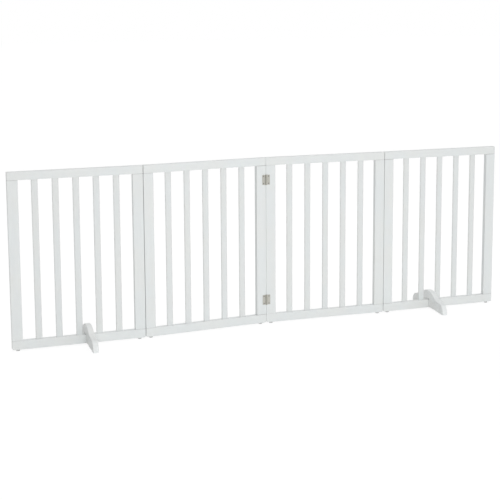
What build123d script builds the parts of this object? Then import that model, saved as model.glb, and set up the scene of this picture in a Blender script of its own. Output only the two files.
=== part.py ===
from build123d import *

import os
from math import tan, radians

# Folding pet gate. Slatted wooden panels stand in a shallow zig-zag, joined by small
# butt hinges that alternate between the back and the front face. Two saddle feet drop
# over the bottom rails and keep it upright.
# Millimetres, +Z up, X along the gate, front towards -Y, origin on the floor under the
# middle of the gate.

# Panels
panel_turns = (-0.8, 4.0, -2.3, -0.9)  # degrees from the gate's line, left to right
hinge_sides = (1, -1, 1)  # 1 is the back face, -1 the front
panel_width = 462.0
panel_gaps = (0.1, 0.1, 1.0)  # at the pin axes
gate_height = 610.0
wood_thickness = 18.0
stile_width = 36.0
top_rail_height = 28.25
bottom_rail_height = 30.5
rail_corner_radius = 2.5
rail_toe_radius = 5.0  # lower end corners of the bottom rail
edge_ease = 1.0

# Slats with round edges, let into blind mortises in both rails
slat_count = 5
slat_width = 22.5
slat_thickness = 8.0
end_space_share = 0.95  # space beside a stile, as a share of the space between two slats
mortise_depth = 10.0
mortise_clearance = 0.1

# Dowels that pin the stiles to the rails
dowel_diameter = 8.0
dowel_length = 30.0
dowel_spacing = 18.0
dowel_chamfer = 0.8
dowel_clearance = 0.05

# Nail-on glides
glide_diameter = 13.0
glide_height = 5.0
glide_round = 1.5
glide_inset = 20.0  # from the panel's end
nail_diameter = 2.2
nail_length = 12.0
nail_clearance = 0.05

# Butt hinges
hinge_height = 36.0
hinge_drop = 80.0  # top of the gate to the middle of the upper hinge
hinge_rise = 90.0  # floor to the middle of the lower hinge
leaf_reach = 14.5  # pin axis to the leaf's outer edge
leaf_thickness = 1.2
leaf_corner_radius = 1.0
barrel_diameter = 5.2
barrel_clearance = 0.4
knuckle_count = 3
knuckle_gap = 0.3
pin_clearance = 0.05
pin_head_diameter = 4.4
pin_head_height = 0.8

# Countersunk screws in the hinge leaves
screw_shank_diameter = 2.4
screw_length = 11.0
screw_tip_length = 2.0
screw_margin = 5.0  # from the leaf's ends and outer edge
screw_clearance = 0.05
countersink_angle = 90.0

# Saddle feet
foot_slat_counts = (3, 2)  # slats to the left of each foot
foot_shifts = (-5.0, 3.0)  # along the rail, from half way between the slats beside it
foot_thickness = 20.0
foot_length = 247.0
foot_height = 70.5
foot_crest_width = 37.0
foot_crest_radius = 55.0
foot_instep_reach = 66.0
foot_instep_height = 43.5
foot_instep_radius = 70.0
foot_nose_height = 33.5
foot_nose_radius = 31.0
foot_heel_radius = 1.5
foot_pad_length = 15.5  # flat under each toe, outside the arch
foot_arch_rise = 6.5
foot_arch_blend = 60.0
foot_ease = 2.5
foot_clearance = 0.5
notch_relief_radius = 4.5

barrel_radius = barrel_diameter / 2
pin_radius = barrel_radius - leaf_thickness - pin_clearance
pin_offset = wood_thickness / 2 + barrel_radius
stile_bottom = glide_height + bottom_rail_height
stile_top = gate_height - top_rail_height
stile_centres = (stile_width / 2, panel_width - stile_width / 2)
slat_room = panel_width - 2 * stile_width - slat_count * slat_width
slat_pitch = slat_room / (slat_count - 1 + 2 * end_space_share) + slat_width
slat_places = [panel_width / 2 + (n - (slat_count - 1) / 2) * slat_pitch for n in range(slat_count)]
dowel_places = [(x + d, 0) for x in stile_centres for d in (-dowel_spacing / 2, dowel_spacing / 2)]
glide_places = ((glide_inset, 0), (panel_width - glide_inset, 0))
hinge_heights = (hinge_rise, gate_height - hinge_drop)
head_radius = screw_shank_diameter / 2 + leaf_thickness * tan(radians(countersink_angle / 2))

os.makedirs("parts", exist_ok=True)


# Layout: each panel has a frame at its left end, middle of the thickness, floor level,
# with x along the panel and y towards the back.
def panel_frame(origin, turn):
    return Plane(origin=origin, x_dir=Vector(1, 0, 0).rotate(Axis.Z, turn), z_dir=(0, 0, 1))


def lay_out(start):
    frames = [panel_frame(start, panel_turns[0])]
    for side, gap, turn in zip(hinge_sides, panel_gaps, panel_turns[1:]):
        pin = frames[-1].from_local_coords(Vector(panel_width + gap / 2, side * pin_offset, 0))
        reach = Vector(gap / 2, -side * pin_offset, 0).rotate(Axis.Z, turn)
        frames.append(panel_frame(pin + reach, turn))
    return frames


def foot_place(frame, slats_before, shift):
    along = (slat_places[slats_before - 1] + slat_places[slats_before]) / 2 + shift
    return frame.from_local_coords(Vector(along, 0, 0))


def foot_places(frames):
    ends = (frames[0], frames[-1])
    return [foot_place(*spot) for spot in zip(ends, foot_slat_counts, foot_shifts)]


# A first layout from the left end finds the middle: half way between the gate's ends,
# and half way between the feet from front to back.
trial = lay_out(Vector(0, 0, 0))
right_end = trial[-1].from_local_coords(Vector(panel_width, 0, 0))
left_spot, right_spot = foot_places(trial)
panels = lay_out(Vector(-right_end.X / 2, -(left_spot.Y + right_spot.Y) / 2, 0))


def facing(frame, side, x, y, z):
    # plane at a local point of the panel that looks out of its back (1) or front (-1)
    return Plane(frame.from_local_coords(Vector(x, y, z)), x_dir=frame.x_dir, z_dir=frame.y_dir * side)


def beside(place):
    # plane through the axis of a piece turned about the place's normal
    return Plane(place.origin, x_dir=place.x_dir, z_dir=-place.y_dir)


def save(piece, label):
    piece.label = label
    export_step(piece, f"parts/{label}.step")


def make_rail(frame, low, high, lower_radius, seam, nail_places):
    # the seam is the edge that carries the slat mortises and the stiles' dowel holes
    inwards = 1 if seam == low else -1
    with BuildPart() as rail:
        with BuildSketch(facing(frame, -1, panel_width / 2, 0, low)) as front:
            Rectangle(panel_width, high - low, align=(Align.CENTER, Align.MIN))
            fillet(front.vertices().group_by(Axis.Y)[0], lower_radius)
            fillet(front.vertices().group_by(Axis.Y)[-1], rail_corner_radius)
        extrude(amount=wood_thickness / 2, both=True)
        fillet(rail.faces().filter_by(Axis(frame.origin, frame.y_dir)).edges(), edge_ease)
        with BuildSketch(frame.offset(seam)):
            with Locations(*[(x, 0) for x in slat_places]):
                SlotOverall(slat_width + 2 * mortise_clearance, slat_thickness + 2 * mortise_clearance)
        extrude(amount=inwards * (mortise_depth + mortise_clearance), mode=Mode.SUBTRACT)
        with BuildSketch(frame.offset(seam)):
            with Locations(*dowel_places):
                Circle(dowel_diameter / 2 + dowel_clearance)
        extrude(amount=inwards * (dowel_length / 2 + dowel_clearance), mode=Mode.SUBTRACT)
        for place in nail_places:
            with BuildSketch(frame.offset(low)):
                with Locations(place):
                    Circle(nail_diameter / 2 + nail_clearance)
            extrude(amount=nail_length + nail_clearance, mode=Mode.SUBTRACT)
    return rail.part


def make_stile(frame, centre, screw_places):
    with BuildPart() as stile:
        with BuildSketch(frame.offset(stile_bottom)):
            with Locations((centre, 0)):
                RectangleRounded(stile_width, wood_thickness, edge_ease)
        extrude(amount=stile_top - stile_bottom)
        for seam, inwards in ((stile_bottom, 1), (stile_top, -1)):
            with BuildSketch(frame.offset(seam)):
                with Locations((centre, 0)):
                    with GridLocations(dowel_spacing, 0, 2, 1):
                        Circle(dowel_diameter / 2 + dowel_clearance)
            extrude(amount=inwards * (dowel_length / 2 + dowel_clearance), mode=Mode.SUBTRACT)
        for place in screw_places:
            with BuildSketch(place):
                Circle(screw_shank_diameter / 2 + screw_clearance)
            extrude(amount=-screw_length - screw_clearance, mode=Mode.SUBTRACT)
    return stile.part


def make_slat(frame, place):
    with BuildPart() as slat:
        with BuildSketch(frame.offset(stile_bottom - mortise_depth)):
            with Locations((place, 0)):
                SlotOverall(slat_width, slat_thickness)
        extrude(amount=stile_top - stile_bottom + 2 * mortise_depth)
    return slat.part


def make_dowels(frame):
    with BuildPart() as dowels:
        for seam in (stile_bottom, stile_top):
            with BuildSketch(frame.offset(seam)):
                with Locations(*dowel_places):
                    Circle(dowel_diameter / 2)
            extrude(amount=dowel_length / 2, both=True)
        chamfer(dowels.edges().filter_by(GeomType.CIRCLE), dowel_chamfer)
    return dowels.part


def make_glides(frame):
    with BuildPart() as glides:
        with BuildSketch(frame):
            with Locations(*glide_places):
                Circle(glide_diameter / 2)
        extrude(amount=glide_height)
        fillet(glides.edges().group_by(Axis.Z)[0], glide_round)
        with BuildSketch(frame.offset(glide_height)):
            with Locations(*glide_places):
                Circle(nail_diameter / 2)
        extrude(amount=nail_length)
    return glides.part


# Hinges. A leaf's own plane is level with the middle of the hinge, on the pin axis, with
# x along the leaf and y towards the wood. Left leaves hold the outer knuckles.
def leaf_plane(frame, side, joint_x, outwards, height):
    axis_point = frame.from_local_coords(Vector(joint_x, side * pin_offset, height))
    along = frame.x_dir * outwards
    return Plane(axis_point, x_dir=along, z_dir=along.cross(frame.y_dir * -side))


def screw_places_on(leaf):
    # on the leaf's outer face, looking out
    offsets = (-hinge_height / 2 + screw_margin, hinge_height / 2 - screw_margin)
    spots = [Vector(leaf_reach - screw_margin, barrel_radius - leaf_thickness, z) for z in offsets]
    return [Plane(leaf.from_local_coords(spot), x_dir=leaf.x_dir, z_dir=-leaf.y_dir) for spot in spots]


def make_leaves(planes, first_knuckle):
    knuckle_height = (hinge_height - (knuckle_count - 1) * knuckle_gap) / knuckle_count
    plate_start = barrel_radius + barrel_clearance
    with BuildPart() as leaves:
        for plane in planes:
            underside = plane.from_local_coords(Vector(0, barrel_radius, 0))
            with BuildSketch(Plane(underside, x_dir=plane.x_dir, z_dir=-plane.y_dir)) as plate:
                with Locations((plate_start, 0)):
                    Rectangle(leaf_reach - plate_start, hinge_height, align=(Align.MIN, Align.CENTER))
                fillet(plate.vertices().group_by(Axis.X)[-1], leaf_corner_radius)
            extrude(amount=leaf_thickness)
        for plane in planes:
            for n in range(first_knuckle, knuckle_count, 2):
                with BuildSketch(plane.offset(-hinge_height / 2 + n * (knuckle_height + knuckle_gap))):
                    Circle(barrel_radius)
                    with Locations((0, barrel_radius)):
                        Rectangle(plate_start, leaf_thickness, align=(Align.MIN, Align.MAX))
                    Circle(barrel_radius - leaf_thickness, mode=Mode.SUBTRACT)
                extrude(amount=knuckle_height)
        with Locations(*[place for plane in planes for place in screw_places_on(plane)]):
            CounterSinkHole(
                screw_shank_diameter / 2 + screw_clearance,
                head_radius + screw_clearance,
                depth=2 * leaf_thickness,
                counter_sink_angle=countersink_angle,
            )
    return leaves.part


def make_pins(planes):
    with BuildPart() as pins:
        for plane in planes:
            with BuildSketch(plane):
                Circle(pin_radius)
            extrude(amount=hinge_height / 2, both=True)
            for end in (plane, Plane(plane.origin, x_dir=plane.x_dir, z_dir=-plane.z_dir)):
                with BuildSketch(end.offset(hinge_height / 2)):
                    Circle(pin_head_diameter / 2)
                extrude(amount=pin_head_height)
    return pins.part


def make_screws(places):
    with BuildPart() as screws:
        for place in places:
            with BuildSketch(beside(place)):
                with BuildLine():
                    Polyline(
                        (0, 0),
                        (head_radius, 0),
                        (screw_shank_diameter / 2, -leaf_thickness),
                        (screw_shank_diameter / 2, screw_tip_length - screw_length),
                        (0, -screw_length),
                        close=True,
                    )
                make_face()
            revolve(axis=Axis(place.origin, place.z_dir))
    return screws.part


def make_foot(frame, place):
    half_length = foot_length / 2
    notch_top = stile_bottom + foot_clearance
    notch_half = wood_thickness / 2 + foot_clearance
    arch_half = half_length - foot_pad_length
    profile = Plane(place, x_dir=frame.y_dir, z_dir=frame.x_dir)
    side = [
        (half_length, 0),
        (half_length, foot_nose_height),
        (foot_instep_reach, foot_instep_height),
        (foot_crest_width / 2, foot_height),
    ]
    radii = [foot_heel_radius, foot_nose_radius, foot_instep_radius, foot_crest_radius]
    with BuildPart() as foot:
        with BuildSketch(profile) as outline:
            with BuildLine():
                FilletPolyline(
                    *side, *[(-y, z) for y, z in reversed(side)], radius=radii + radii[::-1], close=True
                )
            make_face()
            with BuildLine():
                arch = ThreePointArc((-arch_half, 0), (0, foot_arch_rise), (arch_half, 0))
                Line(arch @ 1, arch @ 0)
            make_face(mode=Mode.SUBTRACT)
            fillet(outline.vertices().group_by(Axis.Y)[0].sort_by(Axis.X)[1:3], foot_arch_blend)
        extrude(amount=foot_thickness / 2, both=True)
        fillet(foot.faces().filter_by(Axis(place, frame.x_dir)).edges(), foot_ease)
        with BuildSketch(profile):
            Rectangle(2 * notch_half, notch_top, align=(Align.CENTER, Align.MIN))
            with Locations((-notch_half, notch_top), (notch_half, notch_top)):
                Circle(notch_relief_radius)
        extrude(amount=foot_thickness, both=True, mode=Mode.SUBTRACT)
    return foot.part


leaf_planes = []
for left, right, side, gap in zip(panels, panels[1:], hinge_sides, panel_gaps):
    leaf_planes.append((
        [leaf_plane(left, side, panel_width + gap / 2, -1, z) for z in hinge_heights],
        [leaf_plane(right, side, -gap / 2, 1, z) for z in hinge_heights],
    ))

for number, frame in enumerate(panels):
    name = f"panel_{number + 1}"
    on_left = leaf_planes[number - 1][1] if number > 0 else []
    on_right = leaf_planes[number][0] if number < len(leaf_planes) else []
    left_screws = [place for leaf in on_left for place in screw_places_on(leaf)]
    right_screws = [place for leaf in on_right for place in screw_places_on(leaf)]
    top_rail = make_rail(frame, stile_top, gate_height, rail_corner_radius, stile_top, ())
    bottom_rail = make_rail(frame, glide_height, stile_bottom, rail_toe_radius, stile_bottom, glide_places)
    save(top_rail, f"{name}_top_rail")
    save(bottom_rail, f"{name}_bottom_rail")
    save(make_stile(frame, stile_centres[0], left_screws), f"{name}_left_stile")
    save(make_stile(frame, stile_centres[1], right_screws), f"{name}_right_stile")
    for n, place in enumerate(slat_places, start=1):
        save(make_slat(frame, place), f"{name}_slat_{n}")
    save(make_dowels(frame), f"{name}_dowels")
    save(make_glides(frame), f"{name}_glides")
    save(make_screws(left_screws + right_screws), f"{name}_hinge_screws")

for joint, (left_planes, right_planes) in enumerate(leaf_planes, start=1):
    name = f"hinges_{joint}{joint + 1}"
    save(make_leaves(left_planes, 0), f"{name}_left_leaves")
    save(make_leaves(right_planes, 1), f"{name}_right_leaves")
    save(make_pins(left_planes), f"{name}_pins")

for label, frame, place in zip(("left_foot", "right_foot"), (panels[0], panels[-1]), foot_places(panels)):
    save(make_foot(frame, place), label)
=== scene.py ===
import math

import bmesh
import bpy
from mathutils import Matrix, Vector


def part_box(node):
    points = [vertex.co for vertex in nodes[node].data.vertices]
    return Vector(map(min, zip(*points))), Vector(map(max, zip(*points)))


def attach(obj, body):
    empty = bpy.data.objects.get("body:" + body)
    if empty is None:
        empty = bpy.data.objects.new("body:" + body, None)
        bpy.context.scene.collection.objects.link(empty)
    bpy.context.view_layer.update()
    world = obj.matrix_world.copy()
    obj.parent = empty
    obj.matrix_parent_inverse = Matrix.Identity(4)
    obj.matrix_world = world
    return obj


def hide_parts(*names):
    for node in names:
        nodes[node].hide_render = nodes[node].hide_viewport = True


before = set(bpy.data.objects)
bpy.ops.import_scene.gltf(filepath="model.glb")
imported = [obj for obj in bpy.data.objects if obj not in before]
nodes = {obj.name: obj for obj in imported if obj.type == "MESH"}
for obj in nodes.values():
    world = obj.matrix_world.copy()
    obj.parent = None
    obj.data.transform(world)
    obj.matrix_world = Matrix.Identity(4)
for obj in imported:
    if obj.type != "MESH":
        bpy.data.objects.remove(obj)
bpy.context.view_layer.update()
print("gate loaded:", len(nodes), "nodes")

gate = {  # metres
    "panels": 4,
    "slats": 5,
    "panelWidth": 0.462,
    "woodThickness": 0.018,
    "stileWidth": 0.036,
    "slatWidth": 0.0225,
    "slatThickness": 0.008,
    "footThickness": 0.020,
    "edgeEase": 0.001,
    "footEase": 0.0025,
}
panelNumbers = range(1, gate["panels"] + 1)


class Wire:  # a node's output socket that can be used in sums
    def __init__(self, socket):
        self.socket = socket
        self.tree = socket.id_data

    @staticmethod
    def add(tree, kind, settings=None, sockets=None, output=0):
        node = tree.nodes.new(kind)
        for key, value in (settings or {}).items():
            setattr(node, key, value)
        for key, value in (sockets or {}).items():
            if isinstance(value, Wire):
                tree.links.new(value.socket, node.inputs[key])
            else:
                node.inputs[key].default_value = value
        return Wire(node.outputs[output])

    def math(self, operation, *values):
        return Wire.add(self.tree, "ShaderNodeMath", {"operation": operation}, dict(enumerate(values)))

    def vector(self, operation, other=(0.0, 0.0, 0.0), output="Vector"):
        sockets = {0: self, 1: other}
        return Wire.add(self.tree, "ShaderNodeVectorMath", {"operation": operation}, sockets, output)

    def __add__(self, other):
        return self.math("ADD", self, other)

    def __sub__(self, other):
        return self.math("SUBTRACT", self, other)

    def __rsub__(self, other):
        return self.math("SUBTRACT", other, self)

    def __mul__(self, other):
        return self.math("MULTIPLY", self, other)

    def __abs__(self):
        return self.math("ABSOLUTE", self)

    __radd__ = __add__
    __rmul__ = __mul__

    def ease(self, low, high):  # smooth step from 0 at low to 1 at high
        sockets = {"Value": self, "From Min": low, "From Max": high}
        return Wire.add(self.tree, "ShaderNodeMapRange", {"interpolation_type": "SMOOTHSTEP"}, sockets)

    def scaled(self, factors):  # vector times vector
        return self.vector("MULTIPLY", factors)

    def axes(self):  # x, y and z of a vector
        split = Wire.add(self.tree, "ShaderNodeSeparateXYZ", sockets={"Vector": self})
        return [Wire(output) for output in split.socket.node.outputs]

    def noise(self, detail, rough):
        sockets = {"Vector": self, "Scale": 1.0, "Detail": detail, "Roughness": rough}
        return Wire.add(self.tree, "ShaderNodeTexNoise", sockets=sockets)

    def tint(self, first, second):  # this value mixes two colours
        sockets = {0: self, 6: first, 7: second}  # the node's factor and its two colour inputs
        return Wire.add(self.tree, "ShaderNodeMix", {"data_type": "RGBA"}, sockets, output=2)


def startMaterial(name, **constants):
    material = bpy.data.materials.new(name)
    material.use_nodes = True
    shader = material.node_tree.nodes["Principled BSDF"]
    for key, value in constants.items():
        shader.inputs[key].default_value = value
    return material, material.node_tree, shader


def finishMaterial(tree, shader, colour, rough, height, depth):
    bump = Wire.add(tree, "ShaderNodeBump", sockets={"Strength": 1.0, "Distance": depth, "Height": height})
    for key, wire in (("Base Color", colour), ("Roughness", rough), ("Normal", bump)):
        tree.links.new(wire.socket, shader.inputs[key])


def gateCoords(tree):  # metres in the frame of the whole gate
    return Wire.add(tree, "ShaderNodeTexCoord", output="Object")


def middleOf(node):
    low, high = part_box(node)
    return (low + high) / 2


def outerSlats(number):  # middles of a panel's first and last slats
    return middleOf(f"panel_{number}_slat_1"), middleOf(f"panel_{number}_slat_{gate['slats']}")


def panelPlace(number):  # middle of a panel and its turn about z
    first, last = outerSlats(number)
    along = last - first
    return (first + last) / 2, math.atan2(along.y, along.x)


def slatPitch(number):
    first, last = outerSlats(number)
    return (last - first).length / (gate["slats"] - 1)


def panelCoords(tree, number):  # metres along, through and up a panel, from the middle of its lower edge
    middle, turn = panelPlace(number)
    return Wire.add(tree, "ShaderNodeMapping", {"vector_type": "TEXTURE"},
                    {"Vector": gateCoords(tree), "Location": (middle.x, middle.y, 0.0),
                     "Rotation": (0.0, 0.0, turn)})


paint = {  # white satin paint on wood
    "frame": {"whitesAsLit": ((0.772, 0.802, 0.803, 1.0), (0.784, 0.802, 0.792, 1.0)), "wear": 0.10},
    # the slats' whites are darker than the frame's: painted shade on the same paint
    "slat": {"whitesAsLit": ((0.748, 0.777, 0.778, 1.0), (0.760, 0.777, 0.767, 1.0)), "wear": 0.45},
    # the feet's whites are lighter than the frame's: painted light on the same paint
    "foot": {"whitesAsLit": ((0.842, 0.866, 0.866, 1.0), (0.854, 0.866, 0.856, 1.0)), "wear": 0.28},
    "poreShade": (0.68, 0.695, 0.69, 1.0),
    "edgeTone": (0.70, 0.69, 0.66, 1.0),
    "scuffTone": (0.50, 0.49, 0.47, 1.0),
    # painted shade for the grooves where a stile or slat meets its rails
    "seamShade": (0.30, 0.30, 0.29, 1.0),
    "ior": 1.48,
    "seeds": {"top_rail": 0, "bottom_rail": 5, "left_stile": 10, "slat": 15, "foot": 20, "right_stile": 30},
    "seedStep": (0.37, 0.21, 0.53),  # metres that a seed moves the grain, so that no two pieces share it
    "seam": (0.0011, 0.00033),  # from clear to dark, off the middle of the line
    "stileSeamShade": ((0.55, 0.8), (0.65, 1.0), (0.25, 0.65), (1.0, 0.85)),  # how strong the painted shade in the joint grooves is, left and right on each panel
    "slatSeamShade": 0.12,
    "edgeReach": 0.9,  # share of an eased edge over which wear sets in
    "chip": 140.0,  # scales are per metre
    "chipCut": (0.42, 0.66),
    "grainAcross": 380.0,
    "grainAlong": 11.0,
    "grainCut": (0.55, 0.8),
    "grainWeight": 0.12,
    "poreAcross": 1500.0,
    "poreAlong": 26.0,
    "poreCut": (0.60, 0.76),
    "poreWeight": 0.30,
    "cloud": 7.0,
    "cloudCut": (0.35, 0.65),
    "peel": 850.0,
    "scuff": (60.0, 60.0, 95.0),
    "scuffCut": (0.60, 0.72),
    "scuffTop": 0.09,  # scuffs fade out up to this height
    "scuffWeight": 0.10,
    "smoothest": 0.31,
    "cloudRough": 0.10,
    "grainRough": 0.08,
    "scuffRough": 0.15,
    "bump": 0.00016,
    "grainRelief": 0.6,
    "peelRelief": 0.25,
    "poreRelief": 0.45,
}


def edgeBand(u, halfU, v, halfV):  # 1 on the eased edges of a stick whose half section is given
    ease = gate["edgeEase"]
    reach = paint["edgeReach"] * ease
    return u.ease(halfU - ease, halfU - ease + reach) * v.ease(halfV - ease, halfV - ease + reach)


def seamShadeLines(z, low, high):  # 1 on the thin lines of painted shade in the grooves where a piece meets the two rails
    lower, upper = (abs(z - height).ease(*paint["seam"]) for height in (low, high))
    return lower.math("MAXIMUM", lower, upper)


def paintedWood(name, number, grain, edges, seed, coatAndLight="frame", seams=None, seamShadeWeight=0.0):
    material, tree, shader = startMaterial(name, IOR=paint["ior"])
    place = panelCoords(tree, number)
    x, y, z = place.axes()
    moved = place.vector("ADD", tuple((number + seed) * step for step in paint["seedStep"]))

    def along(across, length):  # one scale along the grain, another across it
        return tuple(length if axis == grain else across for axis in "xyz")

    grainLines = moved.scaled(along(paint["grainAcross"], paint["grainAlong"])).noise(detail=4.0, rough=0.6)
    pores = moved.scaled(along(paint["poreAcross"], paint["poreAlong"])).noise(detail=2.0, rough=0.5)
    pores = pores.ease(*paint["poreCut"])
    cloud = moved.scaled((paint["cloud"],) * 3).noise(detail=3.0, rough=0.5)
    peel = moved.scaled((paint["peel"],) * 3).noise(detail=2.0, rough=0.5)
    scuffs = moved.scaled(paint["scuff"]).noise(detail=5.0, rough=0.62).ease(*paint["scuffCut"])
    scuffs = scuffs * z.ease(paint["scuffTop"], 0.0)
    chips = moved.scaled((paint["chip"],) * 3).noise(detail=4.0, rough=0.6).ease(*paint["chipCut"])
    worn = edges(x, y, z) * chips

    # the whites carry painted shade on the slats and painted light on the feet
    colour = cloud.ease(*paint["cloudCut"]).tint(*paint[coatAndLight]["whitesAsLit"])
    shade = pores * paint["poreWeight"] + grainLines.ease(*paint["grainCut"]) * paint["grainWeight"]
    colour = shade.tint(colour, paint["poreShade"])
    colour = (worn * paint[coatAndLight]["wear"]).tint(colour, paint["edgeTone"])
    colour = (scuffs * paint["scuffWeight"]).tint(colour, paint["scuffTone"])
    # painted shade in the grooves where the piece meets its rails
    if seams:
        colour = (seamShadeLines(z, *seams) * seamShadeWeight).tint(colour, paint["seamShade"])
    rough = cloud * paint["cloudRough"] + grainLines * paint["grainRough"]
    rough = rough + scuffs * paint["scuffRough"] + paint["smoothest"]
    height = grainLines * paint["grainRelief"] + peel * paint["peelRelief"] - pores * paint["poreRelief"]
    finishMaterial(tree, shader, colour, rough, height, paint["bump"])
    return material


def railEdges(node):
    low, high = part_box(node)
    middle, half = (low.z + high.z) / 2, (high.z - low.z) / 2
    return lambda x, y, z: edgeBand(abs(z - middle), half, abs(y), gate["woodThickness"] / 2)


def stileEdges(x, y, z):
    half = gate["stileWidth"] / 2
    across = abs(abs(x) - (gate["panelWidth"] / 2 - half))
    return edgeBand(across, half, abs(y), gate["woodThickness"] / 2)


def slatEdges(pitch):
    half = gate["slatWidth"] / 2

    def band(x, y, z):
        local = x.math("WRAP", x, pitch / 2, -pitch / 2)  # distance from the nearest slat's middle
        return abs(local).ease(half - gate["slatThickness"] / 2, half)
    return band


def footEdges(number, node):
    middle, turn = panelPlace(number)
    offset, half = middleOf(node) - middle, gate["footThickness"] / 2
    place = offset.x * math.cos(turn) + offset.y * math.sin(turn)
    return lambda x, y, z: abs(x - place).ease(half - gate["footEase"], half)


def dress(node, material):
    for slot in nodes[node].material_slots:
        slot.material = material


seeds = paint["seeds"]
for number in panelNumbers:
    panel = f"panel_{number}"
    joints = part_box(f"{panel}_bottom_rail")[1].z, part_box(f"{panel}_top_rail")[0].z
    for end in ("top_rail", "bottom_rail"):
        rail = f"{panel}_{end}"
        dress(rail, paintedWood(f"paint {rail}", number, "x", railEdges(rail), seeds[end]))
    # the slats take darker whites: painted shade
    slatPaint = paintedWood(f"paint slats {number}", number, "z", slatEdges(slatPitch(number)),
                            seeds["slat"], "slat", seams=joints, seamShadeWeight=paint["slatSeamShade"])
    for side, weight in zip(("left", "right"), paint["stileSeamShade"][number - 1]):
        stilePaint = paintedWood(f"paint {side} stile {number}", number, "z", stileEdges,
                                 seeds[f"{side}_stile"], seams=joints, seamShadeWeight=weight)
        dress(f"{panel}_{side}_stile", stilePaint)
    for n in range(1, gate["slats"] + 1):
        dress(f"{panel}_slat_{n}", slatPaint)
for number, foot in ((1, "left_foot"), (gate["panels"], "right_foot")):
    # the feet take lighter whites: painted light
    footPaint = paintedWood(f"paint {foot}", number, "y", footEdges(number, foot), seeds["foot"], "foot")
    dress(foot, footPaint)
print("wood painted")


steel = {  # plated steel of hinges and screws
    "plate": (0.56, 0.552, 0.505, 1.0),
    "dull": (0.54, 0.532, 0.487, 1.0),
    # painted shade of the rolled knuckles and the grooves beside them
    "knuckleShade": (0.45, 0.443, 0.395, 1.0),
    "screwShade": 0.5,
    "barrel": 0.0026,  # radius of the rolled knuckles
    "barrelEdge": (1.25, 1.05),  # radii over which the painted knuckle shade sets in, as shares of it
    "leafStreaks": (2600.0, 2600.0, 60.0),  # scales are per metre
    "screwStreaks": (1500.0, 1500.0, 1500.0),
    "streakWeight": 0.3,
    "cloud": 260.0,
    "cloudCut": (0.38, 0.68),
    "cloudWeight": 0.7,
    "fine": 5200.0,
    "smoothest": 0.30,
    "cloudRough": 0.18,
    "streakRough": 0.14,
    "bump": 0.00004,
    "streakRelief": 0.7,
    "fineRelief": 0.3,
}


def shaded(colour, share):  # a darker colour that stays opaque
    return tuple(share * part for part in colour[:3]) + colour[3:]


def platedSteel(name, shade, streaks, pin=None):
    material, tree, shader = startMaterial(name, Metallic=1.0)
    place = gateCoords(tree)
    brushed = place.scaled(streaks).noise(detail=3.0, rough=0.6)
    cloud = place.scaled((steel["cloud"],) * 3).noise(detail=4.0, rough=0.6)
    fine = place.scaled((steel["fine"],) * 3).noise(detail=2.0, rough=0.5)
    dulled = cloud.ease(*steel["cloudCut"]) * steel["cloudWeight"] + brushed * steel["streakWeight"]
    colour = dulled.tint(shaded(steel["plate"], shade), shaded(steel["dull"], shade))
    if pin:  # painted shade: the rolled knuckles round the pin get a darker colour than the flat leaves
        offPin = place.vector("SUBTRACT", (pin.x, pin.y, 0.0)).scaled((1.0, 1.0, 0.0))
        outer, inner = (steel["barrel"] * share for share in steel["barrelEdge"])
        colour = offPin.vector("LENGTH", output="Value").ease(outer, inner).tint(colour, steel["knuckleShade"])
    rough = cloud * steel["cloudRough"] + brushed * steel["streakRough"] + steel["smoothest"]
    height = brushed * steel["streakRelief"] + fine * steel["fineRelief"]
    finishMaterial(tree, shader, colour, rough, height, steel["bump"])
    return material


for joint in ("12", "23", "34"):
    pin = middleOf(f"hinges_{joint}_pins")
    hingeSteel = platedSteel(f"plated hinge steel {joint}", 1.0, steel["leafStreaks"], pin)
    for piece in ("left_leaves", "right_leaves", "pins"):
        dress(f"hinges_{joint}_{piece}", hingeSteel)

plastic = {  # grey moulded glides
    "grey": (0.60, 0.605, 0.60, 1.0),
    "worn": (0.45, 0.45, 0.44, 1.0),
    "ior": 1.5,
    "sole": (0.0016, 0.0002),  # heights between which the worn tone sets in
    "soleWeight": 0.7,
    "cloud": 120.0,  # scales are per metre
    "cloudCut": (0.5, 0.72),
    "cloudWeight": 0.3,
    "pebble": 1900.0,
    "smoothest": 0.45,
    "cloudRough": 0.14,
    "bump": 0.00008,
}


def mouldedGrey(name):
    material, tree, shader = startMaterial(name, IOR=plastic["ior"])
    place = gateCoords(tree)
    pebble = place.scaled((plastic["pebble"],) * 3).noise(detail=2.0, rough=0.5)
    cloud = place.scaled((plastic["cloud"],) * 3).noise(detail=4.0, rough=0.6)
    x, y, z = place.axes()
    worn = z.ease(*plastic["sole"]) * plastic["soleWeight"]
    worn = worn + cloud.ease(*plastic["cloudCut"]) * plastic["cloudWeight"]
    colour = worn.tint(plastic["grey"], plastic["worn"])
    rough = cloud * plastic["cloudRough"] + plastic["smoothest"]
    finishMaterial(tree, shader, colour, rough, pebble, plastic["bump"])
    return material


beech = {  # bare dowels inside the joints
    "light": (0.56, 0.40, 0.24, 1.0),
    "dark": (0.36, 0.22, 0.11, 1.0),
    "ior": 1.45,
    "lines": (900.0, 900.0, 30.0),  # scales are per metre
    "linesCut": (0.35, 0.7),
    "linesWeight": 0.7,
    "fleck": (1800.0, 1800.0, 220.0),
    "fleckCut": (0.58, 0.72),
    "fleckWeight": 0.3,
    "smoothest": 0.55,
    "linesRough": 0.15,
    "bump": 0.00012,
    "fleckRelief": 0.4,
}


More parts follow.
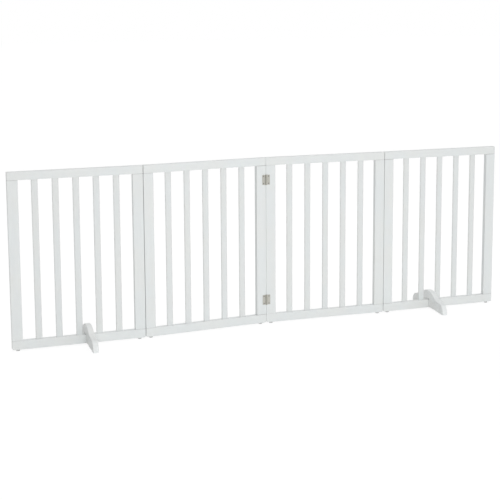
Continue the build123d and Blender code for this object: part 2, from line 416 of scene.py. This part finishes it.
def bareBeech(name):
    material, tree, shader = startMaterial(name, IOR=beech["ior"])
    place = gateCoords(tree)
    lines = place.scaled(beech["lines"]).noise(detail=4.0, rough=0.6)
    fleck = place.scaled(beech["fleck"]).noise(detail=2.0, rough=0.5).ease(*beech["fleckCut"])
    shade = lines.ease(*beech["linesCut"]) * beech["linesWeight"] + fleck * beech["fleckWeight"]
    colour = shade.tint(beech["light"], beech["dark"])
    rough = lines * beech["linesRough"] + beech["smoothest"]
    finishMaterial(tree, shader, colour, rough, lines - fleck * beech["fleckRelief"], beech["bump"])
    return material


glideGrey, dowelBeech = mouldedGrey("grey glide"), bareBeech("bare beech")
for number in panelNumbers:
    dress(f"panel_{number}_glides", glideGrey)
    dress(f"panel_{number}_dowels", dowelBeech)
print("hardware finished")


screw = {  # countersunk, with a cross recess
    "headRadius": 0.0024,
    "headDepth": 0.0012,
    "shankRadius": 0.0012,
    "length": 0.011,
    "tip": 0.002,
    "dome": 0.00012,
    "domeCurve": ((0.0, 0.5), (0.5, 0.4), (0.85, 0.1)),  # shares of the head's radius and of the dome
    "rim": 0.00012,
    "rimCurve": ((0.97, 1 / 3), (1.0, 1.0)),  # shares of the head's radius and of the rim
    "recessArm": 0.00145,
    "recessWidth": 0.00068,
    "recessDepth": 0.0010,
    "recessTaper": (0.35, 0.6),  # shares of arm and width that are left at the bottom
    "recessOver": 0.00036,  # the cutter stands this far over the head
    "segments": 40,
    "turn": 0.7,  # radians from one screw to the next
    "weld": 0.000001,
    "level": 0.00001,  # points this near the head's rim belong to its face
}


def meshPiece(name, bm):
    mesh = bpy.data.meshes.new(name)
    bm.to_mesh(mesh)
    bm.free()
    piece = bpy.data.objects.new(name, mesh)
    bpy.context.scene.collection.objects.link(piece)
    return piece


def lathe(profile, segments):  # radius and height pairs turned about z
    bm = bmesh.new()
    rings = []
    turns = [2 * math.pi * k / segments for k in range(segments)]
    for radius, height in profile:
        spokes = turns if radius else turns[:1]  # one point on the axis
        rings.append([bm.verts.new((radius * math.cos(a), radius * math.sin(a), height)) for a in spokes])
    for lower, upper in zip(rings, rings[1:]):
        for k in range(segments):
            here = [ring[k % len(ring)] for ring in (lower, upper)]
            ahead = [ring[(k + 1) % len(ring)] for ring in (lower, upper)]
            bm.faces.new(list(dict.fromkeys((here[0], ahead[0], ahead[1], here[1]))))
    bmesh.ops.recalc_face_normals(bm, faces=bm.faces)
    return bm


def crossCutter():  # two tapered bars across each other
    bm = bmesh.new()
    half, arm = screw["recessWidth"] / 2, screw["recessArm"]
    armLeft, widthLeft = screw["recessTaper"]
    corners = ((-1, -1), (1, -1), (1, 1), (-1, 1))
    for turn in (0.0, math.pi / 2):
        spin = Matrix.Rotation(turn, 3, "Z")

        def ring(length, width, height):
            return [bm.verts.new(spin @ Vector((a * length, b * width, height))) for a, b in corners]

        ringTop = ring(arm, half, screw["recessOver"])
        ringLow = ring(arm * armLeft, half * widthLeft, -screw["recessDepth"])
        bm.faces.new(ringTop)
        bm.faces.new(ringLow[::-1])
        for k in range(len(corners)):
            after = (k + 1) % len(corners)
            bm.faces.new((ringTop[k], ringLow[k], ringLow[after], ringTop[after]))
    bmesh.ops.recalc_face_normals(bm, faces=bm.faces)
    return bm


def makeScrewMesh():
    radius, shank = screw["headRadius"], screw["shankRadius"]
    profile = [(radius * across, screw["dome"] * up) for across, up in screw["domeCurve"]]
    profile += [(radius * across, -screw["rim"] * down) for across, down in screw["rimCurve"]]
    profile += [(shank, -screw["headDepth"]), (shank, screw["tip"] - screw["length"])]
    profile += [(0.0, -screw["length"])]
    body = meshPiece("screwBody", lathe(profile, screw["segments"]))
    cutters = meshPiece("screwRecess", crossCutter())
    cut = body.modifiers.new("recess", "BOOLEAN")
    cut.operation, cut.solver, cut.use_self, cut.object = "DIFFERENCE", "EXACT", True, cutters
    done = bpy.data.meshes.new_from_object(body.evaluated_get(bpy.context.evaluated_depsgraph_get()))
    for piece in (body, cutters):
        bpy.data.objects.remove(piece)
    return done


def islands(mesh):  # the points of each loose solid
    bm = bmesh.new()
    bm.from_mesh(mesh)
    bmesh.ops.remove_doubles(bm, verts=bm.verts, dist=screw["weld"])
    found = set()
    for first in bm.verts:
        points, edge = [], [first]
        while edge:
            vert = edge.pop()
            if vert not in found:
                found.add(vert)
                points.append(vert.co.copy())
                edge += [e.other_vert(vert) for e in vert.link_edges]
        if points:
            yield points
    bm.free()


def middleOfPoints(points):
    return sum(points, Vector()) / len(points)


def screwOrder(points):  # from the left, and upwards where screws stand above each other
    middle = middleOfPoints(points)
    return round(middle.x, 2), round(middle.z, 2)


def screwPlace(points, out):  # head centre and the way it looks, from a plain screw's points
    middle = middleOfPoints(points)
    reach = [(p - middle).dot(out) for p in points]
    wide = max(points, key=lambda p: ((p - middle) - out * (p - middle).dot(out)).length)
    if (wide - middle).dot(out) < (min(reach) + max(reach)) / 2:  # the head is at the other end
        return screwPlace(points, -out)
    face = [p for p in points if (p - wide).dot(out) > -screw["level"]]
    return middleOfPoints(face), out


screwMesh = makeScrewMesh()
screwSteel = platedSteel("plated screw steel", steel["screwShade"], steel["screwStreaks"])
for number in panelNumbers:
    node = f"panel_{number}_hinge_screws"
    turn = panelPlace(number)[1]
    front = Vector((math.sin(turn), -math.cos(turn), 0.0))
    bm = bmesh.new()
    for n, points in enumerate(sorted(islands(nodes[node].data), key=screwOrder)):
        head, out = screwPlace(points, front)
        spin = Matrix.Rotation(screw["turn"] * n + number, 4, "Z")  # each screw stops at its own angle
        facing = out.to_track_quat("Z", "Y").to_matrix().to_4x4()
        spot = Matrix.Translation(head - out * screw["dome"]) @ facing @ spin
        start = len(bm.verts)
        bm.from_mesh(screwMesh)
        bm.verts.ensure_lookup_table()
        bmesh.ops.transform(bm, matrix=spot, verts=bm.verts[start:])
    piece = meshPiece(f"hingeScrews{number}", bm)
    piece.data.materials.append(screwSteel)
    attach(piece, f"panel_{number}")
    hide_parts(node)
print("screws set")


camera = {
    "place": (-1.54626, -4.01082, 1.16410),
    "yaw": -20.2417,  # degrees
    "pitch": 8.4602,
    "roll": -0.3284,
    "focalPixels": 1217.954,  # in a frame of 500 by 500
    "framePixels": 500.0,
    "axisRow": 181.910,  # where the lens axis meets the frame, from its top
    "sensorWidth": 36.0,  # millimetres
    "farthest": 100.0,
}

lens = bpy.data.cameras.new("photoCamera")
lens.sensor_width = camera["sensorWidth"]
lens.lens = camera["focalPixels"] / camera["framePixels"] * camera["sensorWidth"]
lens.shift_y = camera["axisRow"] / camera["framePixels"] - 0.5
lens.clip_end = camera["farthest"]
eye = bpy.data.objects.new("photoCamera", lens)
yaw, pitch, roll = (math.radians(camera[key]) for key in ("yaw", "pitch", "roll"))
eye.matrix_world = (Matrix.Translation(camera["place"]) @ Matrix.Rotation(yaw, 4, "Z")
                    @ Matrix.Rotation(math.pi / 2 - pitch, 4, "X") @ Matrix.Rotation(roll, 4, "Z"))
bpy.context.scene.collection.objects.link(eye)
bpy.context.scene.camera = eye

studio = {
    "lampWidth": 2.4,
    "lampHeight": 0.8,
    "lampSpread": 100.0,  # degrees
    "lampAim": (0.7, 0.0, 0.3),
    "keyPlace": (-1.1, -5.0, 1.0),
    "keyPower": 29.5,
    "fillPlace": (0.5, 3.0, 1.2),
    "fillPower": 5.0,
    "skyLight": 0.42,
    "skyLean": (0.9, 0.1, 0.95),  # brighter overhead and to the right
    "white": (1.0, 1.0, 1.0, 1.0),
    "floorColour": (0.94, 0.94, 0.94, 1.0),  # what the floor throws back at the gate
    "floorSeen": (0.20, 0.20, 0.20, 1.0),  # what is looked at takes the shadow with this colour
    "floorGlow": 0.87,
    "floorSize": 60.0,
}


def softLamp(name, place, power):
    light = bpy.data.lights.new(name, "AREA")
    light.shape, light.energy = "RECTANGLE", power
    light.size, light.size_y = studio["lampWidth"], studio["lampHeight"]
    light.spread = math.radians(studio["lampSpread"])
    lamp = bpy.data.objects.new(name, light)
    facing = (Vector(place) - Vector(studio["lampAim"])).to_track_quat("Z", "Y").to_matrix().to_4x4()
    lamp.matrix_world = Matrix.Translation(place) @ facing
    lamp.visible_camera = lamp.visible_glossy = False
    bpy.context.scene.collection.objects.link(lamp)


def seenDirectly(tree):  # 1 for what the camera, a reflection or clear glass looks at
    outputs = Wire.add(tree, "ShaderNodeLightPath").socket.node.outputs
    seen = Wire(outputs["Is Camera Ray"])
    for kind in ("Is Glossy Ray", "Is Transmission Ray"):
        seen = seen.math("MAXIMUM", seen, Wire(outputs[kind]))
    return seen


softLamp("softKey", studio["keyPlace"], studio["keyPower"])
softLamp("softFill", studio["fillPlace"], studio["fillPower"])

world = bpy.data.worlds.new("studio")
world.use_nodes = True
bpy.context.scene.world = world
tree = world.node_tree
way = Wire.add(tree, "ShaderNodeTexCoord", output="Generated")
lean = way.vector("DOT_PRODUCT", studio["skyLean"], output="Value")
strength = studio["skyLight"] * (1.0 + lean)
light = Wire.add(tree, "ShaderNodeBackground", sockets={"Color": studio["white"], "Strength": strength})
plain = Wire.add(tree, "ShaderNodeBackground", sockets={"Color": studio["white"], "Strength": 1.0})
mixed = Wire.add(tree, "ShaderNodeMixShader", sockets={0: seenDirectly(tree), 1: light, 2: plain})
tree.links.new(mixed.socket, tree.nodes["World Output"].inputs["Surface"])

bm = bmesh.new()
bmesh.ops.create_grid(bm, x_segments=2, y_segments=2, size=studio["floorSize"] / 2)
floor = meshPiece("floor", bm)
floorPaint = bpy.data.materials.new("pale floor")
floorPaint.use_nodes = True
tree = floorPaint.node_tree
tree.nodes.remove(tree.nodes["Principled BSDF"])
bounce = Wire.add(tree, "ShaderNodeBsdfDiffuse", sockets={"Color": studio["floorColour"]})
shown = Wire.add(tree, "ShaderNodeBsdfDiffuse", sockets={"Color": studio["floorSeen"]})
glow = Wire.add(tree, "ShaderNodeEmission", sockets={"Strength": studio["floorGlow"]})
bright = Wire.add(tree, "ShaderNodeAddShader", sockets={0: shown, 1: glow})
mixed = Wire.add(tree, "ShaderNodeMixShader", sockets={0: seenDirectly(tree), 1: bounce, 2: bright})
tree.links.new(mixed.socket, tree.nodes["Material Output"].inputs["Surface"])
floor.data.materials.append(floorPaint)

bpy.context.scene.view_settings.view_transform = "Standard"
print("studio ready")
